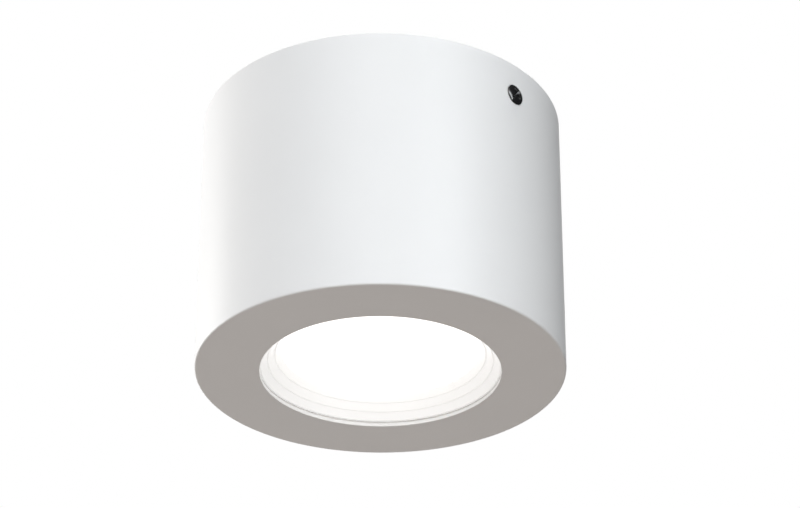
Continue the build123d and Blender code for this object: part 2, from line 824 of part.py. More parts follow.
# Ceiling plate: pressed sheet with a dished cable entry, a rim, two slots and two tabs
knee_shift = plate_thickness * math.tan(math.radians(22.5))
with BuildPart() as bracket_plate:
    with BuildSketch(Plane.XZ):
        with BuildLine():
            FilletPolyline(
                (entry_radius, -dish_depth),
                (dish_radius, -dish_depth),
                (dish_radius + dish_depth, 0),
                (plate_radius, 0),
                (plate_radius, -rim_depth),
                (plate_radius - plate_thickness, -rim_depth),
                (plate_radius - plate_thickness, -plate_thickness),
                (dish_radius + dish_depth + knee_shift, -plate_thickness),
                (dish_radius + knee_shift, -dish_depth - plate_thickness),
                (entry_radius, -dish_depth - plate_thickness),
                radius=(0, knee_round, knee_round, rim_bend, 0, 0, knee_round, knee_round, knee_round, 0),
                close=True,
            )
        make_face()
    revolve(axis=Axis.Z)
    for side in (1, -1):
        with BuildSketch(Plane.XY):
            with Locations((side * (relief_edge + plate_radius / 2), 0)):
                Rectangle(plate_radius, relief_width)
        extrude(amount=-rim_depth, mode=Mode.SUBTRACT)
        with BuildSketch(Plane.XY):
            with Locations((side * (tab_face - relief_depth), 0)):
                Rectangle(2 * relief_depth, tab_width)
        extrude(amount=-plate_thickness)
        with BuildSketch(Plane.XY):
            with Locations((side * (tab_face - plate_thickness / 2), 0)):
                Rectangle(plate_thickness, tab_width)
        extrude(amount=-tab_depth)
    fillet(bracket_plate.edges().filter_by(Axis.Y).group_by(Axis.Z)[-1], tab_bend)
    fillet(bracket_plate.edges().filter_by(Axis.X).group_by(Axis.Z)[0], tab_corner)
    with BuildSketch(Plane.XY):
        with GridLocations(slot_spacing, slot_spacing, 1, 2):
            SlotOverall(slot_length, slot_width, rotation=90)
    extrude(amount=-plate_thickness, mode=Mode.SUBTRACT)

# Base seal: a soft ring round the plate's rim
with BuildPart() as base_seal:
    with BuildSketch(Plane.XY):
        Circle(bore_radius - loose_gap)
        Circle(plate_radius + thread_gap, mode=Mode.SUBTRACT)
    extrude(amount=-base_seal_height)

# Cable grommet in the dished entry
neck_radius = entry_radius - thread_gap
with BuildPart() as cable_grommet:
    with BuildSketch(Plane.XZ):
        with BuildLine():
            FilletPolyline(
                (cable_radius, -dish_depth - plate_thickness - grommet_flange),
                (grommet_flange_radius, -dish_depth - plate_thickness - grommet_flange),
                (grommet_flange_radius, -dish_depth - plate_thickness),
                (neck_radius, -dish_depth - plate_thickness),
                (neck_radius, -dish_depth),
                (grommet_flange_radius, -dish_depth),
                (grommet_flange_radius, -dish_depth + grommet_flange),
                (cable_radius, -dish_depth + grommet_flange),
                radius=(0, knee_round, 0, 0, 0, 0, knee_round, 0),
                close=True,
            )
        make_face()
    revolve(axis=Axis.Z)

# Clamping screws and their washers
side_screw = clamping_screw()
with BuildPart(side_plane(1, head_level)) as clamp_screw_right:
    add(side_screw)
with BuildPart(side_plane(-1, head_level)) as clamp_screw_left:
    add(side_screw)

with BuildPart() as clamp_washer_right:
    with BuildSketch(side_plane(1, spot_level)):
        Circle(washer_radius)
        Circle(clamp_radius + thread_gap, mode=Mode.SUBTRACT)
    extrude(amount=washer_thickness)
with BuildPart() as clamp_washer_left:
    with BuildSketch(side_plane(-1, spot_level)):
        Circle(washer_radius)
        Circle(clamp_radius + thread_gap, mode=Mode.SUBTRACT)
    extrude(amount=washer_thickness)

# Label and write every piece
pieces = {
    "housing": housing,
    "face_seal": face_seal,
    "reflector": reflector,
    "diffuser": diffuser,
    "light_cup": light_cup,
    "led_board": led_board,
    "led_chips": led_chips,
    "led_connector": led_connector,
    "led_board_screws": led_board_screws,
    "thermal_pad": thermal_pad,
    "heat_sink": heat_sink,
    "pillars": pillars,
    "gear_tray": gear_tray,
    "tray_screws": tray_screws,
    "driver_base": driver_base,
    "driver_lid": driver_lid,
    "driver_board": driver_board,
    "driver_transformer": driver_transformer,
    "driver_capacitors": driver_capacitors,
    "driver_chips": driver_chips,
    "driver_connectors": driver_connectors,
    "driver_screws": driver_screws,
    "terminal_block": terminal_block,
    "terminal_clamps": terminal_clamps,
    "terminal_screws": terminal_screws,
    "terminal_fixings": terminal_fixings,
    "cord_clamp": cord_clamp,
    "cord_clamp_screws": cord_clamp_screws,
    "earth_tag": earth_tag,
    "earth_screw": earth_screw,
    "lead_bush": lead_bush,
    "live_lead": live_lead,
    "neutral_lead": neutral_lead,
    "earth_lead": earth_lead,
    "led_positive_lead": led_positive_lead,
    "led_negative_lead": led_negative_lead,
    "bracket_plate": bracket_plate,
    "base_seal": base_seal,
    "cable_grommet": cable_grommet,
    "clamp_screw_right": clamp_screw_right,
    "clamp_screw_left": clamp_screw_left,
    "clamp_washer_right": clamp_washer_right,
    "clamp_washer_left": clamp_washer_left,
}
os.makedirs("parts", exist_ok=True)
for label, piece in pieces.items():
    piece.part.label = label
    export_step(piece.part, f"parts/{label}.step")
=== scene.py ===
"""Surface downlight: a white can that hangs under a ceiling plate, lit through a banded recess in its face.

Metres, +Z up, in the frame of the packed model: the origin is the middle of the ceiling plane, the two
clamping screws lie on the X axis and the lamp hangs below. The solid model is loaded first; the pieces that
show most are made again here as finer surfaces, and every other node keeps its shape and gets a finish.
"""

import json
import math

import bpy
import numpy as np
from bpy.props import FloatProperty, FloatVectorProperty, IntProperty, PointerProperty
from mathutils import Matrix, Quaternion, Vector


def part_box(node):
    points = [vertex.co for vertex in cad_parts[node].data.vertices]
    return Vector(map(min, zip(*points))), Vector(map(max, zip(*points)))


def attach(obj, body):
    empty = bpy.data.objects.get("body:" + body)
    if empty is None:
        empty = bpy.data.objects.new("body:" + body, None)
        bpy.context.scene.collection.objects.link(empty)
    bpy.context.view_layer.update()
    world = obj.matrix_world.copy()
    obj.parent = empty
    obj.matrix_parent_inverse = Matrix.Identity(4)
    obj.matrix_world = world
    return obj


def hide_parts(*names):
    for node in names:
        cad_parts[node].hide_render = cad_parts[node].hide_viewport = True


bl_info = {
    "name": "Surface downlight",
    "version": (1, 0, 0),
    "blender": (4, 5, 0),
    "location": "3D View > Sidebar > Downlight",
    "description": "Builds the visible pieces, finishes and studio stage of a surface downlight",
    "category": "Object",
}

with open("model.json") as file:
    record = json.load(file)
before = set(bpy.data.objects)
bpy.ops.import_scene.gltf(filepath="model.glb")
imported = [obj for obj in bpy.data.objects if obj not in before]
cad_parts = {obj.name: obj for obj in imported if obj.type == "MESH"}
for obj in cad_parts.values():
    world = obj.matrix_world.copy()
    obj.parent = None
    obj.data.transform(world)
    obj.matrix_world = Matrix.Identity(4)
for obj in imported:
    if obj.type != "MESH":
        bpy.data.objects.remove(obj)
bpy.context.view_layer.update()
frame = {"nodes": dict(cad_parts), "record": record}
can_low, can_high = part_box("housing")
seal_low, seal_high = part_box("face_seal")
reflector_low, reflector_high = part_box("reflector")
diffuser_low, diffuser_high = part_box("diffuser")
screw_low, screw_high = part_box("clamp_screw_right")
washer_low, washer_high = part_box("clamp_washer_right")
foam_low, foam_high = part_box("base_seal")
grommet_low, grommet_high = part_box("cable_grommet")

MM = 0.001


# Settings that the panel shows

def length(name, description, default, least=0.0):
    """A property that holds one length in metres."""
    return FloatProperty(
        name=name, description=description, default=default, min=least, unit="LENGTH", precision=5
    )


def angle(name, description, degrees):
    """A property that holds one angle, given in degrees."""
    return FloatProperty(name=name, description=description, default=math.radians(degrees), subtype="ANGLE")


def amount(name, description, default):
    """A property that holds one plain number."""
    return FloatProperty(name=name, description=description, default=default, min=0.0)


def colour(name, description, default):
    """A property that holds one colour."""
    return FloatVectorProperty(
        name=name, description=description, default=default, subtype="COLOR", size=3, min=0.0, max=1.0
    )


class CanSizes(bpy.types.PropertyGroup):
    """Sizes of the can"""

    radius: length("Radius", "Outside radius of the can", can_high.x)
    wall: length("Wall", "Thickness of the side wall", 2.5 * MM)
    face_thickness: length("Face", "Thickness of the face ring", 3.0 * MM)
    aperture: length("Aperture", "Radius of the opening in the face", 38.1 * MM)
    rebate: length("Rebate", "Radius of the recess that holds the seal and the reflector", 43.3 * MM)
    edge_round: length("Edge round", "Rounding of the face's outer edge", 0.6 * MM)
    aperture_round: length("Aperture round", "Rounding of the opening's edge", 0.15 * MM)
    rim_round: length("Rim round", "Rounding of the upper rim", 0.4 * MM)
    screw_level: length(
        "Screw level", "Height of the clamping screws' axis", (screw_low.z + screw_high.z) / 2, least=-1.0
    )
    pocket_radius: length("Pocket", "Radius of the round pocket for each clamping screw's head", 3.55 * MM)
    pocket_depth: length("Pocket depth", "Depth of that pocket below the wall", 0.6 * MM)
    hole_radius: length("Screw hole", "Radius of the hole for each clamping screw", 2.05 * MM)


class LightSizes(bpy.types.PropertyGroup):
    """Sizes and brightness of the lit recess"""

    bands: IntProperty(name="Bands", description="Number of sloping bands in the reflector", default=3, min=1)
    ledge: length("Ledge", "Width of the flat ledge before each band", 0.4 * MM)
    lens_radius: length("Lens radius", "Radius of the diffuser that shows", 31.25 * MM)
    pocket_radius: length("Pocket radius", "Radius of the reflector's skirt on the inside", 38.0 * MM)
    skirt_radius: length("Skirt radius", "Radius of the reflector's skirt on the outside", 40.0 * MM)
    flange: length("Flange", "Thickness of the reflector's flange", 2.1 * MM)
    glow: amount("Glow", "Brightness of the lit diffuser", 1.4)
    # Painted glow of the reflector: an emission standing in for the light that falls on it from the lens
    painted_glow: amount("Spill", "Light that the white reflector lets through", 0.48)


class ScrewSizes(bpy.types.PropertyGroup):
    """Sizes of the clamping screws"""

    head_radius: length("Head radius", "Radius of the screw's head", 3.4 * MM)
    head_height: length("Head height", "Height of the domed head", 1.2 * MM)
    head_side: length("Head side", "Height of the straight side of the head", 0.2 * MM)
    shank: length("Shank", "Outer radius of the thread", 1.98 * MM)
    core: length("Core", "Radius at the root of the thread", 1.6 * MM)
    pitch: length("Pitch", "Travel of the screw in one turn", 0.7 * MM)
    recess_length: length("Recess length", "Length of each bar of the cross recess", 4.2 * MM)
    recess_width: length("Recess width", "Width of each bar of the cross recess", 1.0 * MM)
    recess_depth: length("Recess depth", "Depth of the cross recess at its middle", 0.9 * MM)
    recess_turn: angle("Recess turn", "Turn of the cross about the screw", 45)


class FinishColours(bpy.types.PropertyGroup):
    """Colours of the finishes that show from outside"""

    paint: colour("Paint", "Powder coat of the can", (0.855, 0.857, 0.86))
    reflector: colour("Reflector", "White plastic of the reflector", (0.895, 0.90, 0.90))
    seal: colour("Face seal", "Silicone ring behind the lip", (0.79, 0.78, 0.765))
    glow: colour("Glow", "Colour of the lit diffuser", (1.0, 0.99, 0.97))
    screw: colour("Screws", "Black oxide of the clamping screws", (0.008, 0.008, 0.009))


class StageSizes(bpy.types.PropertyGroup):
    """Camera and studio light"""

    azimuth: angle("Azimuth", "Side the camera stands on", 43.8)
    elevation: angle("Elevation", "Height of the camera", -26.953)
    distance: length("Distance", "Camera to the middle of the face", 0.9023)
    pan: angle("Pan", "Turn of the camera to its right", 0.438)
    tilt: angle("Tilt", "Turn of the camera upward", 2.3885)
    lens: amount("Lens", "Focal length on a 36 mm wide sensor, in mm", 128.9)
    floor_level: length("Floor", "Height of the studio floor", -2.4, least=-10.0)
    floor_colour: colour("Floor colour", "Colour of the studio floor", (0.64, 0.572, 0.522))
    ambient: amount("Ambient", "Brightness of the surrounding light", 0.25)


# Surfaces by formula

def rounded(corners, radii, steps=6):
    """Arcs that replace the corners of a closed outline.

    At each corner the circle of the given radius that touches both sides has its middle on the bisector. The
    arc runs between the two touching points, and one more point on each side keeps the shading flat there.
    Gives a table of corners by points.
    """
    corners = np.asarray(corners, float)
    radii = np.broadcast_to(np.asarray(radii, float), len(corners))[:, None]
    before = np.roll(corners, 1, axis=0) - corners
    after = np.roll(corners, -1, axis=0) - corners
    before /= np.linalg.norm(before, axis=1, keepdims=True)
    after /= np.linalg.norm(after, axis=1, keepdims=True)
    half = 0.5 * np.arccos(np.clip((before * after).sum(axis=1, keepdims=True), -1.0, 1.0))
    reach = radii / np.tan(half)
    bisector = (before + after) / np.linalg.norm(before + after, axis=1, keepdims=True)
    middle = corners + bisector * radii / np.sin(half)
    first = (corners + before * reach - middle)[:, None]
    last = (corners + after * reach - middle)[:, None]
    sweep = (math.pi - 2 * half)[:, None]
    share = np.linspace(0.0, 1.0, steps)[None, :, None]
    arc = (np.sin((1 - share) * sweep) * first + np.sin(share * sweep) * last) / np.sin(sweep)
    arc = middle[:, None] + arc
    pad = 0.6 * reach[:, None]
    lead_in = arc[:, :1] + before[:, None] * pad
    lead_out = arc[:, -1:] + after[:, None] * pad
    return np.concatenate((lead_in, arc, lead_out), axis=1)


def quads(numbers):
    """Four-cornered faces between neighbouring rows and columns of a table of vertex numbers."""
    corners = (numbers[:-1, :-1], numbers[:-1, 1:], numbers[1:, 1:], numbers[1:, :-1])
    return np.stack(corners, axis=-1).reshape(-1, 4)


def closed(numbers):
    """A table of vertex numbers with its first row and column again at the end."""
    return np.pad(numbers, ((0, 1), (0, 1)), mode="wrap")


def around(count):
    """Evenly spaced angles round a full turn."""
    return np.linspace(0.0, 2 * math.pi, count, endpoint=False)


def outward(outline):
    """The outline turned so that its outside lies to the right as it is walked, by the sign of its area."""
    ahead = np.roll(outline, -1, axis=0)
    area = (outline[:, 0] * ahead[:, 1] - ahead[:, 0] * outline[:, 1]).sum()
    return outline if area > 0 else outline[::-1]


def carried_round(radius, height, columns):
    """Points on turns round Z, in rows by columns, and a table of their numbers.

    x = radius cos(angle), y = radius sin(angle), z = height.
    """
    height = height + np.zeros(len(columns))
    points = np.stack((radius * np.cos(columns), radius * np.sin(columns), height), axis=-1)
    return points.reshape(-1, 3), np.arange(height.size).reshape(height.shape)


def lathe(corners, radii, count, steps=6):
    """Ring of revolution: an outline (radius, height) with rounded corners, carried round Z in columns."""
    outline = outward(rounded(corners, radii, steps).reshape(-1, 2))
    points, numbers = carried_round(*outline.T[:, :, None], around(count))
    return points, quads(closed(numbers)).tolist()


def flat_ring(inner, outer, low, high, radii, count):
    """Ring with a rounded rectangular section, carried round Z."""
    return lathe(((inner, low), (outer, low), (outer, high), (inner, high)), radii, count)


def turned(radius, height, columns, tip, top):
    """Body of revolution: radius and height are tables of rows by columns, closed by one point at each end.

    Rows run from the tip on the axis to the top.
    """
    points, numbers = carried_round(radius, height, columns)
    low = np.full(len(columns), numbers.size)
    high = low + 1
    numbers = np.pad(numbers, ((0, 0), (0, 1)), mode="wrap")
    bottom_fan = np.stack((low, numbers[0, 1:], numbers[0, :-1]), axis=-1)
    top_fan = np.stack((numbers[-1, :-1], numbers[-1, 1:], high), axis=-1)
    ends = np.array(((0.0, 0.0, tip), (0.0, 0.0, top)))
    faces = quads(numbers).tolist() + bottom_fan.tolist() + top_fan.tolist()
    return np.concatenate((points, ends)), faces


def joined(*shapes):
    """Several shapes as one list of points and faces."""
    points, faces, start = [], [], 0
    for shape_points, shape_faces in shapes:
        points.append(shape_points)
        faces += [[corner + start for corner in face] for face in shape_faces]
        start += len(shape_points)
    return np.concatenate(points), faces


def on_side(shape, side, distance, level):
    """A shape made along Z, laid along +X or -X at a level by turns that keep it right way out."""
    points, faces = shape
    placed = np.stack((points[:, 2] + distance, points[:, 0], points[:, 1] + level), axis=-1)
    return placed * (side, side, 1), faces


def add_piece(name, shape, body, slot, *nodes):
    """Puts a shape into a mesh object with the slot's finish, on a body and in place of the named nodes."""
    points, faces = shape
    mesh = bpy.data.meshes.new(name)
    mesh.from_pydata(points.tolist(), [], faces)
    mesh.polygons.foreach_set("use_smooth", np.ones(len(mesh.polygons), bool))
    mesh.set_sharp_from_angle(angle=math.radians(40))
    mesh.materials.append(finish_of(slot))
    piece = bpy.data.objects.new(name, mesh)
    bpy.context.scene.collection.objects.link(piece)
    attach(piece, body)
    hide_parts(*nodes)
    return piece


def can_outline(sizes, square):
    """The can's rounded outline (radius, height), with rows for the pocket's square set into the outer wall.

    Gives the outline and the number of the square's first row.
    """
    radius, inside = sizes.radius, sizes.radius - sizes.wall
    face, floor, lip = can_low.z, can_low.z + sizes.face_thickness, seal_low.z
    floor_round, sharp = 1.5 * MM, 0.1 * MM
    corners = (
        (radius, face, sizes.edge_round),
        (radius, can_high.z, sizes.rim_round),
        (inside, can_high.z, sizes.rim_round),
        (inside, floor, floor_round),
        (sizes.rebate, floor, sharp),
        (sizes.rebate, lip, sharp),
        (sizes.aperture, lip, sharp),
        (sizes.aperture, face, sizes.aperture_round),
    )
    arcs = rounded(np.array(corners)[:, :2], np.array(corners)[:, 2])
    wall_rows = np.stack((np.full(len(square), radius), sizes.screw_level + square), axis=-1)
    return np.concatenate((arcs[0], wall_rows, arcs[1:].reshape(-1, 2))), len(arcs[0])


def screw_pocket(sizes, side, points, border):
    """Rings that fill a square gap in the wall: a round pocket with a flat bottom and the screw's hole.

    Each ring has a radius, a rise from the flat (0) to the wall (1), and a depth below the flat. The wall is
    at sqrt(radius^2 - across^2). Gives the new points, and the faces that join them to the border.
    """
    clock = np.arctan2(points[border, 2] - sizes.screw_level, side * points[border, 1])
    pocket, hole = sizes.pocket_radius, sizes.hole_radius
    flat = sizes.radius - sizes.pocket_depth
    past_wall = 2.0 * MM
    hole_end = sizes.radius - sizes.wall - past_wall
    ring_table = (
        (1.06 * pocket, 1.0, 0.0),
        (1.01 * pocket, 1.0, 0.0),
        (pocket, 0.9, 0.0),
        (0.995 * pocket, 0.0, 0.0),
        (0.6 * pocket, 0.0, 0.0),
        (1.04 * hole, 0.0, 0.0),
        (hole, 0.0, 0.1 * MM),
        (hole, 0.0, flat - hole_end),
    )
    ring_radius, rise, depth = np.array(ring_table).T[:, :, None]
    across = ring_radius * np.cos(clock)
    on_wall = np.sqrt(sizes.radius**2 - across**2)
    out = flat + rise * (on_wall - flat) - depth
    level = sizes.screw_level + ring_radius * np.sin(clock)
    rings = np.stack((side * out, side * across, level), axis=-1)
    halfway = (points[border] + rings[0]) / 2
    rings = np.concatenate((halfway[None], rings))
    numbers = len(points) + np.arange(rings[..., 0].size).reshape(rings.shape[:2])
    table = np.pad(np.concatenate((border[None], numbers)), ((0, 0), (0, 1)), mode="wrap")
    end = np.array(((side * hole_end, 0.0, sizes.screw_level),))
    end_number = np.full(len(border), len(points) + numbers.size)
    fan = np.stack((table[-1, :-1], table[-1, 1:], end_number), axis=-1)
    return np.concatenate((rings.reshape(-1, 3), end)), quads(table).tolist() + fan.tolist()


def can_shell(sizes):
    """The can's wall, face and lip: a rounded outline carried round Z, with a round pocket for each screw.

    The columns are close together over the two pockets and wider elsewhere. At each pocket a square of the
    grid is left out and filled by the pocket's rings.
    """
    cells, open_columns = 12, 85
    half_square = 1.2 * sizes.pocket_radius
    square = np.linspace(-half_square, half_square, cells + 1)
    outline, first_row = can_outline(sizes, square)
    spread = np.arcsin(square / sizes.radius)
    open_angles = np.linspace(spread[-1], math.pi + spread[0], open_columns + 2)[1:-1]
    half_turn = np.concatenate((spread, open_angles))
    columns = np.concatenate((half_turn, half_turn + math.pi))
    points, numbers = carried_round(*outline.T[:, :, None], columns)
    first_columns = {1: 0, -1: len(half_turn)}
    keep = np.ones(numbers.shape, bool)
    for start in first_columns.values():
        keep[first_row:first_row + cells, start:start + cells] = False
    faces = quads(closed(numbers))[keep.ravel()].tolist()
    for side, start in first_columns.items():
        block = numbers[first_row:first_row + cells + 1, start:start + cells + 1]
        border = np.concatenate((block[0, :-1], block[:-1, -1], block[-1, :0:-1], block[:0:-1, 0]))
        new_points, new_faces = screw_pocket(sizes, side, points, border)
        points = np.concatenate((points, new_points))
        faces += new_faces
    return points, faces


def can_posts(sizes):
    """Three round posts on the face's inside and two bosses behind the screws: rounded rings of revolution.

    Each is sunk a little into the can, so that no gap shows.
    """
    post_radius, post_bore, post_inset = 5.0 * MM, 0.8 * MM, 4.5 * MM
    boss_radius, boss_height = 5.5 * MM, 3.0 * MM
    sink, edge, count = 0.2 * MM, 0.2 * MM, 48
    inside = sizes.radius - sizes.wall
    floor = can_low.z + sizes.face_thickness - sink
    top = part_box("heat_sink")[0].z
    points, faces = flat_ring(post_bore, post_radius, floor, top, edge, count)
    circle = inside - post_inset
    shapes = [
        (points + (circle * math.cos(place), circle * math.sin(place), 0.0), faces)
        for place in np.radians((90, 210, 330))
    ]
    boss = flat_ring(sizes.hole_radius, boss_radius, 0.0, boss_height + 2 * sink, edge, count)
    shapes += [on_side(boss, side, inside - boss_height, sizes.screw_level) for side in (1, -1)]
    return joined(*shapes)


def face_seal():
    """Silicone ring between the lip and the reflector, rounder on the inside, where it shows."""
    inner = 38.2 * MM
    radii = np.array((0.3, 0.15, 0.15, 0.3)) * MM
    return flat_ring(inner, seal_high.x, seal_low.z, seal_high.z, radii, count=192)


def reflector(sizes, aperture):
    """White ring behind the seal, round Z: sloping bands, each after a flat ledge, then pocket and skirt."""
    base, top = reflector_low.z, diffuser_low.z
    tread = (aperture - sizes.lens_radius) / sizes.bands
    rise = (top - base) / sizes.bands
    step = np.arange(sizes.bands)
    starts = np.stack((aperture - step * tread - sizes.ledge, base + step * rise), axis=-1)
    ends = np.stack((aperture - (step + 1) * tread, base + (step + 1) * rise), axis=-1)
    bands = np.stack((starts, ends), axis=1).reshape(-1, 2)
    outer = reflector_high.x
    body = (
        (sizes.pocket_radius, top),
        (sizes.pocket_radius, reflector_high.z),
        (sizes.skirt_radius, reflector_high.z),
        (sizes.skirt_radius, base + sizes.flange),
        (outer, base + sizes.flange),
    )
    corners = np.concatenate((((outer, base),), bands, body))
    return lathe(corners, radii=0.12 * MM, count=192, steps=5)


def diffuser():
    """Opal disc: a rounded rectangle from the axis out, carried round Z and closed by points on the axis."""
    radius, low, high = diffuser_high.x, diffuser_low.z, diffuser_high.z
    arcs = rounded(((0.0, low), (radius, low), (radius, high), (0.0, high)), 0.3 * MM)[1:3].reshape(-1, 2)
    share = np.linspace(0.1, 0.9, 9)[:, None]
    bottom = np.concatenate((share * radius, np.full_like(share, low)), axis=1)
    top = np.concatenate((share[::-1] * radius, np.full_like(share, high)), axis=1)
    outline = np.concatenate((bottom, arcs, top))
    return turned(*outline.T[:, :, None], around(160), low, high)


def thread_rows(sizes, under_head, columns):
    """Radius and height of the rolled thread, in tables of rows by columns.

    radius = core + ridge; the ridge rises and falls along the helix height / pitch - angle / turn, and runs
    in from nothing at the tip.
    """
    tip, neck, run_in_length = 0.3 * MM, 0.25 * MM, 1.5 * MM
    steepness, root = 1.3, 0.15
    height = np.linspace(tip - under_head, -neck, num=92)[:, None]
    helix = np.mod(height / sizes.pitch - columns / (2 * math.pi), 1.0)
    ridge = np.clip(steepness * np.abs(2 * helix - 1) - root, 0.0, 1.0)
    run_in = np.clip((height + under_head) / run_in_length, 0.0, 1.0)
    radius = sizes.core + (sizes.shank - sizes.core) * ridge * run_in
    return radius, height + np.zeros(len(columns))


def head_rows(sizes, columns):
    """Radius and height of the head without its recess, and how many of the rows lie under the dome.

    A cap of a ball on a low straight side: height = side + sqrt(ball^2 - radius^2) - (ball - dome).
    """
    edge, rim, neck = sizes.head_radius, 0.06 * MM, 0.1 * MM
    under = (
        (sizes.shank, -neck),
        (sizes.shank, 0.0),
        (edge - rim, 0.0),
        (edge, rim),
        (edge, sizes.head_side - rim),
    )
    dome = sizes.head_height - sizes.head_side
    ball = (edge**2 + dome**2) / (2 * dome)
    inward = np.linspace(edge - rim / 2, 0.0, num=64)[:-1]
    cap = np.stack((inward, sizes.head_side + np.sqrt(ball**2 - inward**2) - (ball - dome)), axis=-1)
    rows = np.concatenate((under, cap))[:, :, None] + np.zeros(len(columns))
    return rows[:, 0], rows[:, 1], len(under)


def cross_recess(sizes, along, across):
    """Depth of the cross: each bar has soft sides and a floor that is a parabola along its length."""
    soft = 0.18 * MM
    bars = np.stack((np.stack((along, across)), np.stack((across, along))))
    sides = np.clip((sizes.recess_width / 2 - bars[:, 1]) / soft, 0.0, 1.0)
    sides = sides * sides * (3 - 2 * sides)
    floor = np.clip(1.0 - (bars[:, 0] / (sizes.recess_length / 2)) ** 2, 0.0, 1.0)
    return sizes.recess_depth * (sides * floor).max(axis=0)


def scuff_and_highlight(reach, across):
    """Mask of uncoated steel and painted highlight along one bar of the cross: a wedge that widens with the
    reach, then ends.
    """
    # Only one bar is uncoated: it stands in for the highlight that this bar catches, as well as for wear
    start, end, widening = -1.4 * MM, 1.9 * MM, 0.13
    soft_side, soft_end = 0.12 * MM, 0.15 * MM
    wedge = np.clip((widening * (reach - start) - across) / soft_side, 0.0, 1.0)
    return wedge * np.clip((end - reach) / soft_end, 0.0, 1.0)


def clamp_screw(sizes, under_head):
    """Domed screw with a cross recess and a rolled thread, along Z with the head's underside at the origin.

    Gives the shape, and for each point its share of wear and painted highlight, from 0 to 1.
    """
    columns = around(144)
    thread_radius, thread_height = thread_rows(sizes, under_head, columns)
    head_radius, head_height, under_rows = head_rows(sizes, columns)
    reach = head_radius * np.cos(columns - sizes.recess_turn)
    across = np.abs(head_radius * np.sin(columns - sizes.recess_turn))
    recess = cross_recess(sizes, np.abs(reach), across)
    recess[:under_rows] = 0.0
    radius = np.concatenate((thread_radius, head_radius))
    height = np.concatenate((thread_height, head_height - recess))
    wear_and_highlight = np.zeros(height.size + 2)
    wear_and_highlight[thread_height.size:-2] = scuff_and_highlight(reach, across).ravel()
    middle = sizes.head_height - sizes.recess_depth
    return turned(radius, height, columns, -under_head, middle), wear_and_highlight


def grommet(hole_radius):
    """Rubber grommet: two flanges with a waist between them, rounded, carried round Z."""
    outer, bore = grommet_high.x, 4.5 * MM
    low, high = grommet_low.z, grommet_high.z
    sheet = 1.5 * MM
    waist_low = (low + high) / 2 - sheet / 2
    waist_high = waist_low + sheet
    corners = (
        (bore, low),
        (outer, low),
        (outer, waist_low),
        (hole_radius, waist_low),
        (hole_radius, waist_high),
        (outer, waist_high),
        (outer, high),
        (bore, high),
    )
    radii = np.array((0.5, 0.5, 0.3, 0.1, 0.1, 0.3, 0.3, 0.3)) * MM
    return lathe(corners, radii, count=96)


# Shader nodes and finishes

class Nodes:
    """Short way to add shader nodes to one tree and link them."""

    def __init__(self, tree):
        self.tree = tree

    def add(self, kind, values=None, **settings):
        """Adds a node, sets its options, and sets or links each of the named inputs."""
        node = self.tree.nodes.new(kind)
        for key, value in settings.items():
            setattr(node, key, value)
        for key, value in (values or {}).items():
            if isinstance(value, bpy.types.NodeSocket):
                self.tree.links.new(value, node.inputs[key])
            else:
                node.inputs[key].default_value = value
        return node

    def link(self, source, target):
        """Links an output to an input."""
        self.tree.links.new(source, target)


def new_group(name, inputs):
    """Shader node group that gives a surface's colour, roughness and height, still without its inner nodes.

    The inputs are named with their usual values. Gives the group, its nodes and what comes in.
    """
    tree = bpy.data.node_groups.new(name, "ShaderNodeTree")
    for socket, usual in inputs.items():
        kind = "NodeSocketFloat" if isinstance(usual, float) else "NodeSocketColor"
        tree.interface.new_socket(socket, in_out="INPUT", socket_type=kind).default_value = usual
    for socket, kind in (("Colour", "Color"), ("Roughness", "Float"), ("Height", "Float")):
        tree.interface.new_socket(socket, in_out="OUTPUT", socket_type=f"NodeSocket{kind}")
    nodes = Nodes(tree)
    return tree, nodes, nodes.add("NodeGroupInput").outputs


def colour_mix(nodes, share, first, second):
    """Colour between two others, by a share from 0 to 1."""
    return nodes.add("ShaderNodeMix", {0: share, 6: first, 7: second}, data_type="RGBA").outputs[2]


def maths(nodes, operation, *values):
    """Result of one step of arithmetic."""
    return nodes.add("ShaderNodeMath", dict(enumerate(values)), operation=operation).outputs[0]


def noise(nodes, place, scale, detail):
    """Outputs of a noise texture at a place."""
    return nodes.add("ShaderNodeTexNoise", {"Vector": place, "Scale": scale, "Detail": detail}).outputs


def stretch(nodes, value, low, high, out_low=0.0, out_high=1.0):
    """A value carried from one range to another, and held at its ends."""
    return nodes.add(
        "ShaderNodeMapRange",
        {"Value": value, "From Min": low, "From Max": high, "To Min": out_low, "To Max": out_high},
    ).outputs["Result"]


def surface_group():
    """Everyday surface: cloudy colour, grainy gloss, and a fine grain for the bump."""
    name = "Everyday surface"
    if name in bpy.data.node_groups:
        return bpy.data.node_groups[name]
    inputs = {
        "Colour": (0.8, 0.8, 0.8, 1.0),
        "Shade": (0.7, 0.7, 0.7, 1.0),
        "Cloud Scale": 60.0,
        "Grain Scale": 1500.0,
        "Smooth": 0.4,
        "Rough": 0.5,
    }
    tree, nodes, values = new_group(name, inputs)
    place = nodes.add("ShaderNodeTexCoord").outputs["Object"]
    cloud = noise(nodes, place, values["Cloud Scale"], 3.0)["Fac"]
    grain = noise(nodes, place, values["Grain Scale"], 2.0)["Fac"]
    share = stretch(nodes, cloud, 0.3, 0.7)
    mixed = colour_mix(nodes, share, values["Colour"], values["Shade"])
    gloss = stretch(nodes, grain, 0.25, 0.75, values["Smooth"], values["Rough"])
    nodes.add("NodeGroupOutput", {"Colour": mixed, "Roughness": gloss, "Height": grain})
    return tree


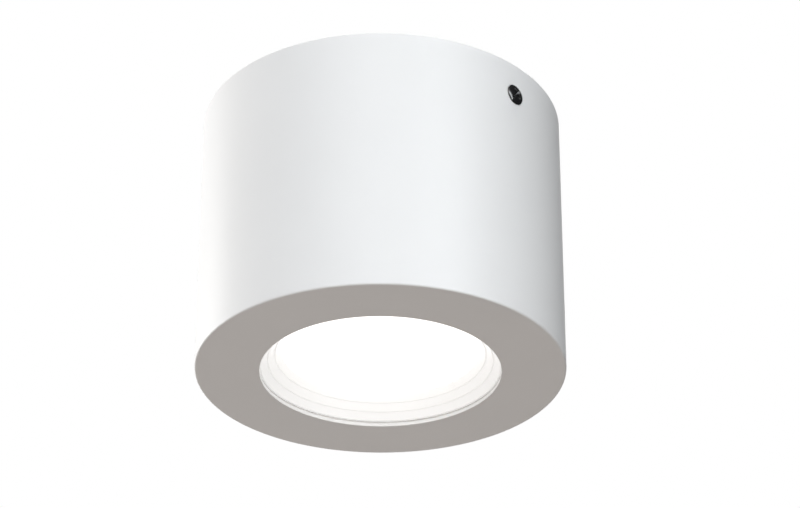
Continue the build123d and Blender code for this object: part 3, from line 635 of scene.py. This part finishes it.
def spangle_group():
    """Zinc spangle: flat crystal patches, each with its own brightness and gloss, and fine rolling lines."""
    name = "Zinc spangle"
    if name in bpy.data.node_groups:
        return bpy.data.node_groups[name]
    inputs = {
        "Colour": (0.66, 0.68, 0.70, 1.0),
        "Shade": (0.50, 0.52, 0.55, 1.0),
        "Patch Scale": 220.0,
    }
    tree, nodes, values = new_group(name, inputs)
    place = nodes.add("ShaderNodeTexCoord").outputs["Object"]
    bend = noise(nodes, place, 140.0, 2.0)["Color"]
    shift = nodes.add("ShaderNodeVectorMath", {0: bend, "Scale": 2.5 * MM}, operation="SCALE").outputs[0]
    moved = nodes.add("ShaderNodeVectorMath", {0: place, 1: shift}, operation="ADD").outputs[0]
    patch = nodes.add("ShaderNodeTexVoronoi", {"Vector": moved, "Scale": values["Patch Scale"]})
    pick = nodes.add("ShaderNodeSeparateColor", {"Color": patch.outputs["Color"]}).outputs
    lines = nodes.add("ShaderNodeMapping", {"Vector": place, "Scale": (30.0, 1.0, 1.0)}).outputs[0]
    rolled = noise(nodes, lines, 60.0, 4.0)["Fac"]
    mixed = colour_mix(nodes, pick["Red"], values["Colour"], values["Shade"])
    gloss = stretch(nodes, pick["Green"], 0.0, 1.0, 0.66, 0.80)
    nodes.add("NodeGroupOutput", {"Colour": mixed, "Roughness": gloss, "Height": rolled})
    return tree


def new_finish(name):
    """Empty procedural material and its nodes."""
    material = bpy.data.materials.new(name)
    material.use_nodes = True
    material.node_tree.nodes.clear()
    return material, Nodes(material.node_tree)


def opaque(tint):
    """A colour with full cover."""
    return (*tint, 1.0)


def shaded(tint, factor):
    """A colour times a factor, with full cover."""
    return opaque([part * factor for part in tint])


def surface(nodes, colour_value, shade, gloss, cloud=60.0, grain=1500.0):
    """The everyday surface in a material: gloss is its lowest and highest roughness."""
    values = {"Colour": colour_value, "Shade": shade, "Cloud Scale": cloud, "Grain Scale": grain}
    values.update({"Smooth": gloss[0], "Rough": gloss[1]})
    return nodes.add("ShaderNodeGroup", values, node_tree=surface_group())


def finish_with(material, nodes, group, depth, metallic=0.0, shader_values=None):
    """Principled shader fed by a group's colour, gloss and bump; the bump's depth is in metres."""
    bump_values = {"Height": group.outputs["Height"], "Strength": 1.0, "Distance": depth}
    bump = nodes.add("ShaderNodeBump", bump_values)
    values = {
        "Base Color": group.outputs["Colour"],
        "Roughness": group.outputs["Roughness"],
        "Metallic": metallic,
        "Normal": bump.outputs["Normal"],
    }
    values.update(shader_values or {})
    shader = nodes.add("ShaderNodeBsdfPrincipled", values)
    nodes.add("ShaderNodeOutputMaterial", {"Surface": shader.outputs["BSDF"]})
    return material


def everyday(name, tint, gloss, shade=0.92, cloud=60.0, grain=1500.0, depth=0.01 * MM, metallic=0.0):
    """Finish of one colour on the everyday surface, clouded with its shade."""
    material, nodes = new_finish(name)
    group = surface(nodes, opaque(tint), shaded(tint, shade), gloss, cloud, grain)
    return finish_with(material, nodes, group, depth, metallic)


def powder_coat(tint):
    """Satin white powder coat: the faint swell of the cured film, a little cloudier than a smooth paint."""
    return everyday("powder coat", tint, (0.41, 0.49), shade=0.985, cloud=35.0, grain=750.0, depth=0.012 * MM)


def distance_from_axis(nodes):
    """How far a point of the piece lies from the lamp's upright axis."""
    place = nodes.add("ShaderNodeTexCoord").outputs["Object"]
    level = nodes.add("ShaderNodeVectorMath", {0: place, 1: (1.0, 1.0, 0.0)}, operation="MULTIPLY").outputs[0]
    return nodes.add("ShaderNodeVectorMath", {0: level}, operation="LENGTH").outputs["Value"]


def white_plastic(tint, painted_glow, lens_radius):
    """Satin white plastic of the reflector with a painted glow, an emission in place of light from the lens,
    most of it next to the lens.
    """
    material, nodes = new_finish("reflector plastic with painted glow")
    fade = 6.0 * MM
    # Painted glow: brightest next to the lens, dimmer further out
    share = stretch(nodes, distance_from_axis(nodes), lens_radius, lens_radius + fade)
    glow = colour_mix(nodes, share, opaque(tint), shaded(tint, 0.8))
    group = surface(nodes, opaque(tint), shaded(tint, 0.985), (0.32, 0.40), grain=2200.0)
    light = {"Emission Color": glow, "Emission Strength": painted_glow}
    return finish_with(material, nodes, group, depth=0.006 * MM, shader_values=light)


def black_oxide(tint):
    """Oiled black oxide on steel, uncoated and duller where the mesh's own mask of wear and painted highlight
    says so.
    """
    material, nodes = new_finish("black oxide")
    wear_and_highlight = nodes.add("ShaderNodeAttribute", attribute_name="wear_and_highlight").outputs["Fac"]
    smooth = stretch(nodes, wear_and_highlight, 0.0, 1.0, 0.12, 0.42)
    rough = stretch(nodes, wear_and_highlight, 0.0, 1.0, 0.18, 0.52)
    # Uncoated steel colours, for wear and for a painted highlight in one bar of the recess
    bare_steel_and_highlight, dull_bare_steel_and_highlight = (0.32, 0.32, 0.33, 1.0), (0.24, 0.24, 0.25, 1.0)
    main_colour = colour_mix(nodes, wear_and_highlight, opaque(tint), bare_steel_and_highlight)
    shade = colour_mix(nodes, wear_and_highlight, shaded(tint, 1.5), dull_bare_steel_and_highlight)
    group = surface(nodes, main_colour, shade, (smooth, rough), cloud=400.0)
    return finish_with(material, nodes, group, depth=0.0005 * MM, metallic=wear_and_highlight, shader_values={"IOR": 1.7})


def lit_opal(tint, strength, lens_radius):
    """Opal acrylic lit from behind: slightly dimmer and warmer towards the edge, with a faint cloudiness."""
    material, nodes = new_finish("lit opal")
    place = nodes.add("ShaderNodeTexCoord").outputs["Object"]
    edge = stretch(nodes, distance_from_axis(nodes), 0.4 * lens_radius, 1.1 * lens_radius)
    warmer = (tint[0] * 0.93, tint[1] * 0.92, tint[2] * 0.90)
    glow = colour_mix(nodes, edge, opaque(tint), opaque(warmer))
    cloud = noise(nodes, place, 90.0, 3.0)["Fac"]
    base = colour_mix(nodes, cloud, (0.93, 0.93, 0.92, 1.0), (0.88, 0.88, 0.87, 1.0))
    shader = nodes.add(
        "ShaderNodeBsdfPrincipled",
        {
            "Base Color": base,
            "Roughness": stretch(nodes, cloud, 0.3, 0.7, 0.35, 0.45),
            "Emission Color": glow,
            "Emission Strength": strength,
        },
    )
    nodes.add("ShaderNodeOutputMaterial", {"Surface": shader.outputs["BSDF"]})
    return material


def galvanised():
    """Galvanised sheet, slightly dull, with zinc spangle."""
    material, nodes = new_finish("galvanised sheet")
    group = nodes.add("ShaderNodeGroup", node_tree=spangle_group())
    return finish_with(material, nodes, group, depth=0.006 * MM, metallic=0.4)


def banded(name, first, second, direction, width, gloss):
    """Two colours in bands across a direction, each of a width, with the everyday surface's grain."""
    material, nodes = new_finish(name)
    place = nodes.add("ShaderNodeTexCoord").outputs["Object"]
    along = nodes.add("ShaderNodeVectorMath", {0: place, 1: direction}, operation="DOT_PRODUCT")
    reach = along.outputs["Value"]
    wave = maths(nodes, "SINE", maths(nodes, "MULTIPLY", reach, math.pi / width))
    soft, dark = 0.15, 0.92
    share = stretch(nodes, wave, -soft, soft)
    main_colour = colour_mix(nodes, share, opaque(first), opaque(second))
    shade = colour_mix(nodes, share, shaded(first, dark), shaded(second, dark))
    group = surface(nodes, main_colour, shade, gloss, cloud=80.0, grain=2500.0)
    return finish_with(material, nodes, group, depth=0.01 * MM)


def finishes(colours, light):
    """Every finish of the lamp, by the name of its slot in the record."""
    steel, aluminium = (0.66, 0.67, 0.69), (0.66, 0.67, 0.68)
    insulation = (0.35, 0.48)
    return {
        "white_paint": powder_coat(colours.paint),
        "grey_silicone": everyday("grey silicone", colours.seal, (0.5, 0.62), grain=2500.0),
        "white_reflector": white_plastic(colours.reflector, light.painted_glow, light.lens_radius),
        "opal": lit_opal(colours.glow, light.glow, light.lens_radius),
        "white_mask": everyday("white solder mask", (0.86, 0.87, 0.86), (0.3, 0.4), grain=900.0),
        "phosphor": everyday("LED phosphor", (0.90, 0.74, 0.24), (0.25, 0.35), shade=0.8, cloud=500.0),
        "natural_nylon": everyday("natural nylon", (0.80, 0.79, 0.72), (0.38, 0.5), depth=0.015 * MM),
        "zinc_steel": everyday("bright zinc", steel, (0.2, 0.38), shade=0.8, cloud=300.0, metallic=1.0),
        "pad_silicone": everyday(
            "thermal pad", (0.36, 0.41, 0.47), (0.6, 0.75), grain=3000.0, depth=0.03 * MM
        ),
        "cast_aluminium": everyday(
            "cast aluminium", aluminium, (0.38, 0.58), shade=0.85, grain=1200.0, depth=0.05 * MM, metallic=1.0
        ),
        "brass": everyday("brass", (0.78, 0.57, 0.25), (0.18, 0.34), shade=0.82, cloud=250.0, metallic=1.0),
        "galvanised": galvanised(),
        "driver_plastic": everyday(
            "driver plastic", (0.74, 0.74, 0.72), (0.5, 0.62), grain=2600.0, depth=0.04 * MM
        ),
        "circuit_board": banded(
            "circuit board", (0.03, 0.20, 0.09), (0.05, 0.27, 0.12), (0.7, 0.7, 0.0), 1.1 * MM, (0.25, 0.35)
        ),
        "transformer_tape": banded(
            "transformer tape", (0.80, 0.55, 0.06), (0.72, 0.47, 0.05), (0, 0, 1), 3.5 * MM, (0.25, 0.4)
        ),
        "capacitor_sleeve": banded(
            "capacitor sleeve", (0.03, 0.035, 0.05), (0.1, 0.11, 0.13), (1, 0, 0), 4.0 * MM, (0.22, 0.34)
        ),
        "chip_epoxy": everyday("chip epoxy", (0.03, 0.03, 0.033), (0.5, 0.65), grain=4000.0, depth=0.02 * MM),
        "black_rubber": everyday(
            "black rubber", (0.025, 0.025, 0.026), (0.55, 0.72), shade=1.6, depth=0.03 * MM
        ),
        "foam": everyday("foam", (0.045, 0.045, 0.047), (0.8, 0.95), shade=0.6, cloud=900.0, depth=0.25 * MM),
        "tinned_copper": everyday(
            "tinned copper", (0.72, 0.70, 0.67), (0.25, 0.42), shade=0.85, metallic=1.0
        ),
        "brown_pvc": everyday("brown insulation", (0.16, 0.06, 0.022), insulation),
        "blue_pvc": everyday("blue insulation", (0.02, 0.10, 0.40), insulation),
        "earth_pvc": banded(
            "earth insulation", (0.04, 0.32, 0.05), (0.78, 0.66, 0.05), (0.6, 0.6, 0.5), 2.2 * MM, insulation
        ),
        "red_pvc": everyday("red insulation", (0.50, 0.02, 0.02), insulation),
        "black_pvc": everyday("black insulation", (0.02, 0.02, 0.02), insulation, shade=1.5),
        "black_steel": black_oxide(colours.screw),
        "white_nylon": everyday("white nylon", (0.86, 0.86, 0.85), (0.36, 0.48), grain=2500.0),
    }


finish_table = {}


def finish_of(slot):
    """The finish of a slot, made on first use together with all the others."""
    if not finish_table:
        scene = bpy.context.scene
        finish_table.update(finishes(scene.downlight_colours, scene.downlight_light))
    return finish_table[slot]


# Studio stage

def bearing(azimuth, elevation):
    """Unit vector from the lamp towards a side and height; azimuth 0 is the side of -Y."""
    flat = math.cos(elevation)
    return Vector((math.sin(azimuth) * flat, -math.cos(azimuth) * flat, math.sin(elevation)))


def add_lamp(name, azimuth, elevation, lean, distance, size, share, tint):
    """Area lamp of a width and height, aimed at the can and leaning to one side by an angle.

    The share is the light that it puts on a white wall facing it.
    """
    target = Vector((0.0, 0.0, (can_low.z + can_high.z) / 2))
    data = bpy.data.lights.new(name, "AREA")
    data.energy = share * math.pi**2 * distance**2
    data.shape = "RECTANGLE"
    data.size, data.size_y = size
    data.color = tint
    lamp = bpy.data.objects.new(name, data)
    aim = bearing(azimuth, elevation)
    lamp.location = target + aim * distance
    upright = aim.to_track_quat("Z", "Y")
    lamp.rotation_euler = (upright @ Quaternion((0.0, 0.0, 1.0), lean)).to_euler()
    lamp.visible_camera = False
    bpy.context.scene.collection.objects.link(lamp)
    return lamp


def add_sheet(name, corners, material):
    """Flat four-cornered piece of the stage."""
    mesh = bpy.data.meshes.new(name)
    mesh.from_pydata([tuple(corner) for corner in corners], [], [(0, 1, 2, 3)])
    mesh.materials.append(material)
    sheet = bpy.data.objects.new(name, mesh)
    bpy.context.scene.collection.objects.link(sheet)
    return sheet


def add_card(azimuth, distance, half, low, high):
    """Dark upright card beside the lamp, which keeps light off one side and isn't seen by the camera."""
    middle = bearing(azimuth, 0.0) * distance
    across = bearing(azimuth + math.pi / 2, 0.0) * half
    foot, head = Vector((0.0, 0.0, low)), Vector((0.0, 0.0, high))
    left, right = middle - across, middle + across
    corners = (left + foot, right + foot, right + head, left + head)
    card_finish = everyday("dark card", (0.03, 0.03, 0.03), (0.8, 0.9), cloud=8.0, grain=60.0)
    card = add_sheet("card", corners, card_finish)
    card.visible_camera = False
    return card


def seen_directly(nodes):
    """1 for what the camera sees, also mirrored or through something clear, and 0 for light that spreads."""
    rays = nodes.add("ShaderNodeLightPath").outputs
    seen = rays["Is Camera Ray"]
    for kind in ("Is Glossy Ray", "Is Transmission Ray"):
        seen = maths(nodes, "MAXIMUM", seen, rays[kind])
    return seen


def light_world(ambient):
    """Even surrounding light that the camera, and reflections, see as plain white."""
    world = bpy.data.worlds.new("Studio")
    world.use_nodes = True
    world.node_tree.nodes.clear()
    nodes = Nodes(world.node_tree)
    plain = (1.0, 1.0, 1.0, 1.0)
    soft = nodes.add("ShaderNodeBackground", {"Color": plain, "Strength": ambient}).outputs[0]
    white = nodes.add("ShaderNodeBackground", {"Color": plain, "Strength": 1.0}).outputs[0]
    mix = nodes.add("ShaderNodeMixShader", {0: seen_directly(nodes), 1: soft, 2: white})
    nodes.add("ShaderNodeOutputWorld", {"Surface": mix.outputs[0]})
    bpy.context.scene.world = world


def studio_floor(tint, clear, white_from):
    """Matte floor that the camera sees fade to white between two distances from the lamp's axis."""
    material = everyday("studio floor", tint, (0.7, 0.8), shade=0.98, cloud=1.5, grain=40.0)
    nodes = Nodes(material.node_tree)
    output = next(node for node in material.node_tree.nodes if node.type == "OUTPUT_MATERIAL")
    floor = output.inputs["Surface"].links[0].from_socket
    far = stretch(nodes, distance_from_axis(nodes), clear, white_from)
    share = maths(nodes, "MULTIPLY", far, seen_directly(nodes))
    white = nodes.add("ShaderNodeEmission", {"Color": (1.0, 1.0, 1.0, 1.0), "Strength": 1.0})
    mix = nodes.add("ShaderNodeMixShader", {0: share, 1: floor, 2: white.outputs[0]})
    nodes.link(mix.outputs[0], output.inputs["Surface"])
    return material


# Operators, one for each group of pieces and one for the stage

class DOWNLIGHT_OT_can(bpy.types.Operator):
    """Build the white can with its face, lip, posts and bosses"""

    bl_idname = "downlight.can"
    bl_label = "Can"

    def execute(self, context):
        sizes = context.scene.downlight_can
        shape = joined(can_shell(sizes), can_posts(sizes))
        add_piece("can", shape, "lamp_body", "white_paint", "housing")
        return {"FINISHED"}


class DOWNLIGHT_OT_light(bpy.types.Operator):
    """Build the lit recess: the face seal, the banded reflector and the opal diffuser"""

    bl_idname = "downlight.light"
    bl_label = "Lit recess"

    def execute(self, context):
        sizes = context.scene.downlight_light
        aperture = context.scene.downlight_can.aperture
        pieces = (
            ("seal_ring", face_seal(), "grey_silicone", "face_seal"),
            ("banded_reflector", reflector(sizes, aperture), "white_reflector", "reflector"),
            ("opal_disc", diffuser(), "opal", "diffuser"),
        )
        for name, shape, slot, node in pieces:
            add_piece(name, shape, "lamp_body", slot, node)
        return {"FINISHED"}


class DOWNLIGHT_OT_clamp_screws(bpy.types.Operator):
    """Build the two clamping screws and their washers"""

    bl_idname = "downlight.clamp_screws"
    bl_label = "Clamping screws"

    def execute(self, context):
        sizes = context.scene.downlight_screws
        level = context.scene.downlight_can.screw_level
        clearance, washer_bore = 0.02 * MM, 2.1 * MM
        underside = washer_high.x + clearance
        screw, wear_and_highlight = clamp_screw(sizes, underside - screw_low.x)
        thickness = washer_high.x - washer_low.x
        ring = flat_ring(washer_bore, washer_high.y, 0.0, thickness, radii=0.12 * MM, count=72)
        for word, side in (("right", 1), ("left", -1)):
            shape = on_side(screw, side, underside, level)
            piece = add_piece(f"screw_{word}", shape, f"{word}_screw", "black_steel", f"clamp_screw_{word}")
            # Each point's share of wear and painted highlight, read by the black oxide finish
            piece.data.attributes.new("wear_and_highlight", "FLOAT", "POINT").data.foreach_set("value", wear_and_highlight)
            shape = on_side(ring, side, washer_low.x, level)
            add_piece(f"washer_{word}", shape, f"{word}_washer", "white_nylon", f"clamp_washer_{word}")
        return {"FINISHED"}


class DOWNLIGHT_OT_ceiling_parts(bpy.types.Operator):
    """Build the foam ring and the rubber grommet of the ceiling plate"""

    bl_idname = "downlight.ceiling_parts"
    bl_label = "Ceiling plate trim"

    def execute(self, context):
        foam_inner, entry_radius = 53.55 * MM, 8.0 * MM
        foam = flat_ring(foam_inner, foam_high.x, foam_low.z, foam_high.z, radii=0.4 * MM, count=160)
        pieces = (
            ("foam_ring", foam, "foam", "base_seal"),
            ("grommet", grommet(entry_radius), "black_rubber", "cable_grommet"),
        )
        for name, shape, slot, node in pieces:
            add_piece(name, shape, "ceiling_bracket", slot, node)
        return {"FINISHED"}


class DOWNLIGHT_OT_node_finishes(bpy.types.Operator):
    """Give every node of the solid model the finish of its slot"""

    bl_idname = "downlight.node_finishes"
    bl_label = "Finishes of the inner pieces"

    def execute(self, context):
        for part in frame["record"]["subparts"]:
            mesh = frame["nodes"][part["node"]].data
            mesh.materials.clear()
            mesh.materials.append(finish_of(part["material_slot"]))
        return {"FINISHED"}


class DOWNLIGHT_OT_stage(bpy.types.Operator):
    """Set up the floor, the studio light and the camera"""

    bl_idname = "downlight.stage"
    bl_label = "Stage"

    def execute(self, context):
        scene = context.scene
        sizes = scene.downlight_stage
        scene.view_settings.view_transform = "Standard"
        light_world(sizes.ambient)
        half, level = 6.0, sizes.floor_level
        fade_from, fade_to = 0.8, 3.5
        corners = ((-half, -half, level), (half, -half, level), (half, half, level), (-half, half, level))
        add_sheet("floor", corners, studio_floor(sizes.floor_colour, fade_from, fade_to))

        cool, warm, plain = (0.94, 0.975, 1.0), (1.0, 0.99, 0.97), (1.0, 1.0, 1.0)
        near, far = 0.42, 2.6
        # Name; turn to the camera's right, elevation and lean in degrees; distance; width and height;
        # light on a white wall that faces the lamp; tint; whether it lights; whether it is mirrored
        lamps = (
            ("Key lamp", 34, 2, 0, far, (0.6, 2.2), 0.476, cool, True, False),
            ("Strip lamp", 44, 13, 28, near, (0.036, 0.33), 0.21, cool, False, True),
            ("Fill lamp", -8, 12, 0, far, (2.0, 2.0), 0.456, cool, True, False),
            ("Rim lamp", -117, 12, 0, far, (1.0, 1.0), 0.59, warm, True, True),
            ("Side lamp", -127, 12, 0, far, (1.0, 1.0), 0.19, warm, True, False),
            ("Back lamp", 172, 12, 0, far, (1.0, 1.0), 0.15, plain, True, False),
            ("Top lamp", 0, 85, 0, far, (1.6, 1.6), 0.43, warm, True, False),
        )
        for name, turn, rise, lean, distance, size, share, tint, lights, mirrored in lamps:
            azimuth = sizes.azimuth + math.radians(turn)
            elevation, lean = math.radians(rise), math.radians(lean)
            lamp = add_lamp(name, azimuth, elevation, lean, distance, size, share, tint)
            lamp.visible_diffuse = lights
            lamp.visible_glossy = mirrored
        card_turn = math.radians(99)
        add_card(sizes.azimuth + card_turn, distance=0.40, half=0.60, low=-0.45, high=1.0)

        data = bpy.data.cameras.new("Camera")
        data.sensor_fit = "HORIZONTAL"
        data.sensor_width = 36.0
        data.lens = sizes.lens
        camera = bpy.data.objects.new("Camera", data)
        middle_of_face = Vector((0.0, 0.0, can_low.z))
        camera.location = middle_of_face + bearing(sizes.azimuth, sizes.elevation) * sizes.distance
        forward = -bearing(sizes.azimuth - sizes.pan, sizes.elevation - sizes.tilt)
        camera.rotation_euler = forward.to_track_quat("-Z", "Y").to_euler()
        scene.collection.objects.link(camera)
        scene.camera = camera
        return {"FINISHED"}


# Panel and registration

class DOWNLIGHT_PT_panel(bpy.types.Panel):
    """Steps and sizes of the downlight"""

    bl_idname = "DOWNLIGHT_PT_panel"
    bl_label = "Surface downlight"
    bl_space_type = "VIEW_3D"
    bl_region_type = "UI"
    bl_category = "Downlight"

    def draw(self, context):
        for step in steps:
            self.layout.operator(step.bl_idname)
        for group, name in setting_names.items():
            box = self.layout.box()
            box.label(text=group.__doc__)
            for key in group.__annotations__:
                box.prop(getattr(context.scene, name), key)


steps = (
    DOWNLIGHT_OT_node_finishes,
    DOWNLIGHT_OT_can,
    DOWNLIGHT_OT_light,
    DOWNLIGHT_OT_clamp_screws,
    DOWNLIGHT_OT_ceiling_parts,
    DOWNLIGHT_OT_stage,
)
setting_names = {
    CanSizes: "downlight_can",
    LightSizes: "downlight_light",
    ScrewSizes: "downlight_screws",
    FinishColours: "downlight_colours",
    StageSizes: "downlight_stage",
}


def register():
    """Registers the settings, the operators and the panel."""
    for group, name in setting_names.items():
        bpy.utils.register_class(group)
        setattr(bpy.types.Scene, name, PointerProperty(type=group))
    for step in steps:
        bpy.utils.register_class(step)
    bpy.utils.register_class(DOWNLIGHT_PT_panel)


def unregister():
    """Takes them all away again."""
    bpy.utils.unregister_class(DOWNLIGHT_PT_panel)
    for step in reversed(steps):
        bpy.utils.unregister_class(step)
    for group, name in setting_names.items():
        delattr(bpy.types.Scene, name)
        bpy.utils.unregister_class(group)


def main():
    """Runs every step in order."""
    register()
    bpy.ops.downlight.node_finishes()
    bpy.ops.downlight.can()
    bpy.ops.downlight.light()
    bpy.ops.downlight.clamp_screws()
    bpy.ops.downlight.ceiling_parts()
    bpy.ops.downlight.stage()
    bpy.context.view_layer.update()


if __name__ == "__main__":
    main()
